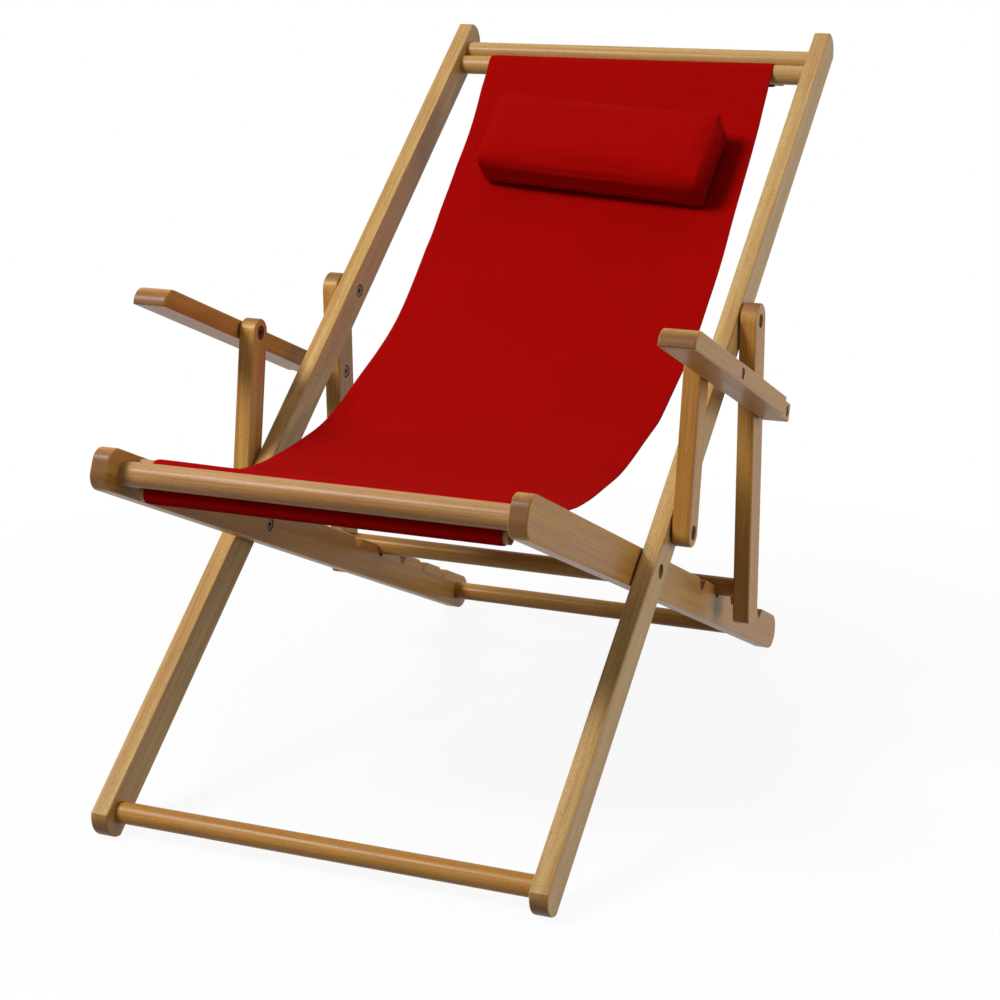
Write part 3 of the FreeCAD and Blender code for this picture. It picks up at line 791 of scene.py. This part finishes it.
def settlePillow(piece):
    scale = pillowShape["creaseScale"]
    for vert in piece.data.vertices:
        x, h, out = pillowLocal(vert.co)
        crease = noise.noise(Vector((x * scale, h * scale, out * scale))) * pillowShape["crease"]
        out = min(max(out + crease, pillowShape["lowest"]), pillowShape["thickness"] + pillowShape["crown"])
        vert.co = pillowSpot(x, h, out)
        fromCentre = flat(vert.co) - backCentre
        bow = max(0.0, 1 - (2 * vert.co.x / slingShape["width"]) ** 2)
        limit = sagRadius - pillowShape["bedGap"] + slingShape["crossSag"] * bow
        if fromCentre.length > limit:
            spot = backCentre + fromCentre.normalized() * limit
            vert.co.y, vert.co.z = spot.x, spot.y
    smooth = piece.modifiers.new("smooth", "SMOOTH")
    smooth.factor = 0.5
    smooth.iterations = 1
    subdivide = piece.modifiers.new("subdivide", "SUBSURF")
    subdivide.levels = 1
    subdivide.render_levels = 1
    applyModifiers(piece)
    for face in piece.data.polygons:
        face.use_smooth = True


def mapPillow(piece):
    mesh = piece.data
    layer = mesh.uv_layers.new(name="cloth")
    for face in mesh.polygons:
        normal = face.normal
        outward = abs(flat(normal).dot(pillowOut))
        upward = abs(flat(normal).dot(pillowUp))
        for index in face.loop_indices:
            x, h, out = pillowLocal(mesh.vertices[mesh.loops[index].vertex_index].co)
            if outward >= max(upward, abs(normal.x)):
                mark = (x, h)
            elif upward >= abs(normal.x):
                mark = (x, out)
            else:
                mark = (out, h)
            layer.data[index].uv = mark


def buildPillow():
    piece = pillowBlank()
    swellPillow(piece)
    settlePillow(piece)
    mapPillow(piece)
    piece.data.name = "pillowCushion"
    piece.data.materials.clear()
    piece.data.materials.append(canvas)
    return piece


pillow = buildPillow()
print("pillow made")


# Seam round the front panel of the pillow, low on the underside
seamShape = {
    "radius": 0.0008,
    "sides": 6,
    "corner": 0.022,
    "cornerSteps": 6,
    "step": 0.006,
    "under": 0.22,
    "underStart": 0.8,
    "sunk": 0.25,
}


def seamTube(bm, points):
    count = len(points)
    rings = []
    for i, (point, normal) in enumerate(points):
        way = (points[(i + 1) % count][0] - points[i - 1][0]).normalized()
        rings.append(addRing(bm, point, way, normal, seamShape["radius"], seamShape["sides"]))
    for i, ring in enumerate(rings):
        joinRings(bm, ring, rings[(i + 1) % count])


def seamPath(halfX, halfH):
    corner, cornerSteps = seamShape["corner"], seamShape["cornerSteps"]
    path = []
    for cornerX, cornerH, start in ((1, 1, 0.0), (-1, 1, 0.5), (-1, -1, 1.0), (1, -1, 1.5)):
        for k in range(cornerSteps + 1):
            a = math.pi * (start + 0.5 * k / cornerSteps)
            path.append(Vector((cornerX * (halfX - corner) + corner * math.cos(a),
                                cornerH * (halfH - corner) + corner * math.sin(a))))
    dense = []
    for i, first in enumerate(path):
        second = path[(i + 1) % len(path)]
        steps = max(1, int((second - first).length / seamShape["step"]))
        dense += [first.lerp(second, k / steps) for k in range(steps)]
    return dense


def seamLoop(tree):
    halfX = pillowShape["width"] / 2
    halfH = pillowShape["height"] / 2
    thickness = pillowShape["thickness"]
    points = []
    for x, h in seamPath(halfX, halfH):
        start = seamShape["underStart"]
        under = min(max((-h / halfH - start) / (1 - start), 0.0), 1.0)
        level = 1 + (seamShape["under"] - 1) * under
        outside = pillowSpot(x * 1.15, h * 1.25, thickness * level)
        inside = pillowSpot(x * 0.6, h * 0.5, thickness * 0.5)
        hit, normal, _, _ = tree.ray_cast(outside, (inside - outside).normalized())
        if hit is not None:
            points.append((hit - normal * seamShape["radius"] * seamShape["sunk"], normal))
    return points


def buildPillowSeams():
    bm = bmesh.new()
    mesh = pillow.data
    tree = BVHTree.FromPolygons([v.co for v in mesh.vertices], [p.vertices for p in mesh.polygons])
    seamTube(bm, seamLoop(tree))
    bmesh.ops.recalc_face_normals(bm, faces=bm.faces)
    return meshPiece("pillowSeams", bm, thread)


pillowSeams = buildPillowSeams()
print("pillow seams made")

# Bake the sling and its stitches in place; the pillow and its seams go with the back frame, and the solid's
# sling and pillow are hidden
for piece in (sling, hemStitches):
    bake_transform(piece)
for piece in (pillow, pillowSeams):
    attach(piece, "back_frame")
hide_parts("sling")
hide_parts("pillow_cover", "pillow_foam")


# Floor and lights: the glow lifts the floor to white away from the chair
stageLook = {
    "floorSize": 60.0,
    "floor": (0.88, 0.88, 0.88, 1.0),
    "floorBounce": (0.22, 0.22, 0.22, 1.0),
    "floorRoughness": 0.8,
    "floorSpecular": 0.1,
    "floorGlow": 0.91,
    "glowSpan": (0.35, 1.25),
    "white": (1.0, 1.0, 1.0, 1.0),
    "worldLight": 0.20,
}
lightShape = {
    "keyLight": {"place": (-1.7, -2.2, 3.1), "target": (0.0, 0.0, 0.45), "size": (1.3, 1.1), "power": 132.0},
    "sideLight": {"place": (3.1, 0.25, 0.8), "target": (0.0, 0.0, 0.45), "size": (1.8, 1.6), "power": 31.0},
    "topLight": {"place": (0.2, 0.8, 3.2), "target": (0.0, 0.0, 0.4), "size": (2.6, 2.6), "power": 14.0},
}


def shownRays(tree):
    rays = addNode(tree, "ShaderNodeLightPath")
    shown = mathNode(tree, "MAXIMUM", rays.outputs["Is Camera Ray"], rays.outputs["Is Glossy Ray"])
    return mathNode(tree, "MAXIMUM", shown, rays.outputs["Is Transmission Ray"])


def makeFloor(name):
    material, tree, shader = newMaterial(name)
    shader.inputs["Roughness"].default_value = stageLook["floorRoughness"]
    shader.inputs["Specular IOR Level"].default_value = stageLook["floorSpecular"]
    glow = addNode(tree, "ShaderNodeEmission")
    setInputs(glow, Color=stageLook["white"], Strength=1.0)
    coords = addNode(tree, "ShaderNodeTexCoord")
    reach = addNode(tree, "ShaderNodeVectorMath", operation="LENGTH")
    tree.links.new(coords.outputs["Object"], reach.inputs[0])
    share = mapRange(tree, reach.outputs["Value"], stageLook["glowSpan"], (stageLook["floorGlow"], 1.0))
    shown = shownRays(tree)
    tone = mixColour(tree, shown, stageLook["floorBounce"], stageLook["floor"])
    tree.links.new(tone, shader.inputs["Base Color"])
    blend = addNode(tree, "ShaderNodeMixShader")
    tree.links.new(mathNode(tree, "MULTIPLY", shown, share), blend.inputs[0])
    tree.links.new(shader.outputs[0], blend.inputs[1])
    tree.links.new(glow.outputs[0], blend.inputs[2])
    tree.links.new(blend.outputs[0], tree.nodes["Material Output"].inputs["Surface"])
    return material


def buildFloor():
    bm = bmesh.new()
    bmesh.ops.create_grid(bm, x_segments=8, y_segments=8, size=stageLook["floorSize"] / 2)
    meshPiece("studioFloor", bm, makeFloor("paleFloor"))


def buildWorld():
    world = bpy.data.worlds.new("studio")
    scene.world = world
    world.use_nodes = True
    tree = world.node_tree
    background = tree.nodes["Background"]
    background.inputs["Color"].default_value = stageLook["white"]
    strength = mapRange(tree, shownRays(tree), (0.0, 1.0), (stageLook["worldLight"], 1.0))
    tree.links.new(strength, background.inputs["Strength"])


def areaLight(name, place, target, size, power):
    data = bpy.data.lights.new(name, "AREA")
    data.shape = "RECTANGLE"
    data.size, data.size_y = size
    data.energy = power
    lamp = bpy.data.objects.new(name, data)
    lamp.location = place
    lamp.rotation_euler = (Vector(target) - Vector(place)).to_track_quat("-Z", "Y").to_euler()
    scene.collection.objects.link(lamp)


# Camera at the photograph's place; the focal length is in pixels of its frame
cameraShape = {
    "place": (0.9799, -2.4108, 0.9915),
    "yaw": 22.081,
    "pitch": -15.109,
    "roll": 0.317,
    "focalPixels": 2171.2,
    "framePixels": 1000,
    "sensor": 36.0,
}


def buildCamera():
    yaw, pitch, roll = (math.radians(cameraShape[k]) for k in ("yaw", "pitch", "roll"))
    forward = Vector((-math.sin(yaw) * math.cos(pitch), math.cos(yaw) * math.cos(pitch), math.sin(pitch)))
    right = Vector((math.cos(yaw), math.sin(yaw), 0.0))
    up = right.cross(forward)
    turnedRight = right * math.cos(roll) + up * math.sin(roll)
    turnedUp = up * math.cos(roll) - right * math.sin(roll)
    data = bpy.data.cameras.new("photoCamera")
    data.sensor_width = cameraShape["sensor"]
    data.lens = cameraShape["focalPixels"] / cameraShape["framePixels"] * data.sensor_width
    camera = bpy.data.objects.new("photoCamera", data)
    rotation = Matrix((turnedRight, turnedUp, -forward)).transposed().to_4x4()
    camera.matrix_world = Matrix.Translation(cameraShape["place"]) @ rotation
    scene.collection.objects.link(camera)
    scene.camera = camera


buildFloor()
buildWorld()
for name, light in lightShape.items():
    areaLight(name, **light)
buildCamera()
print("stage set")
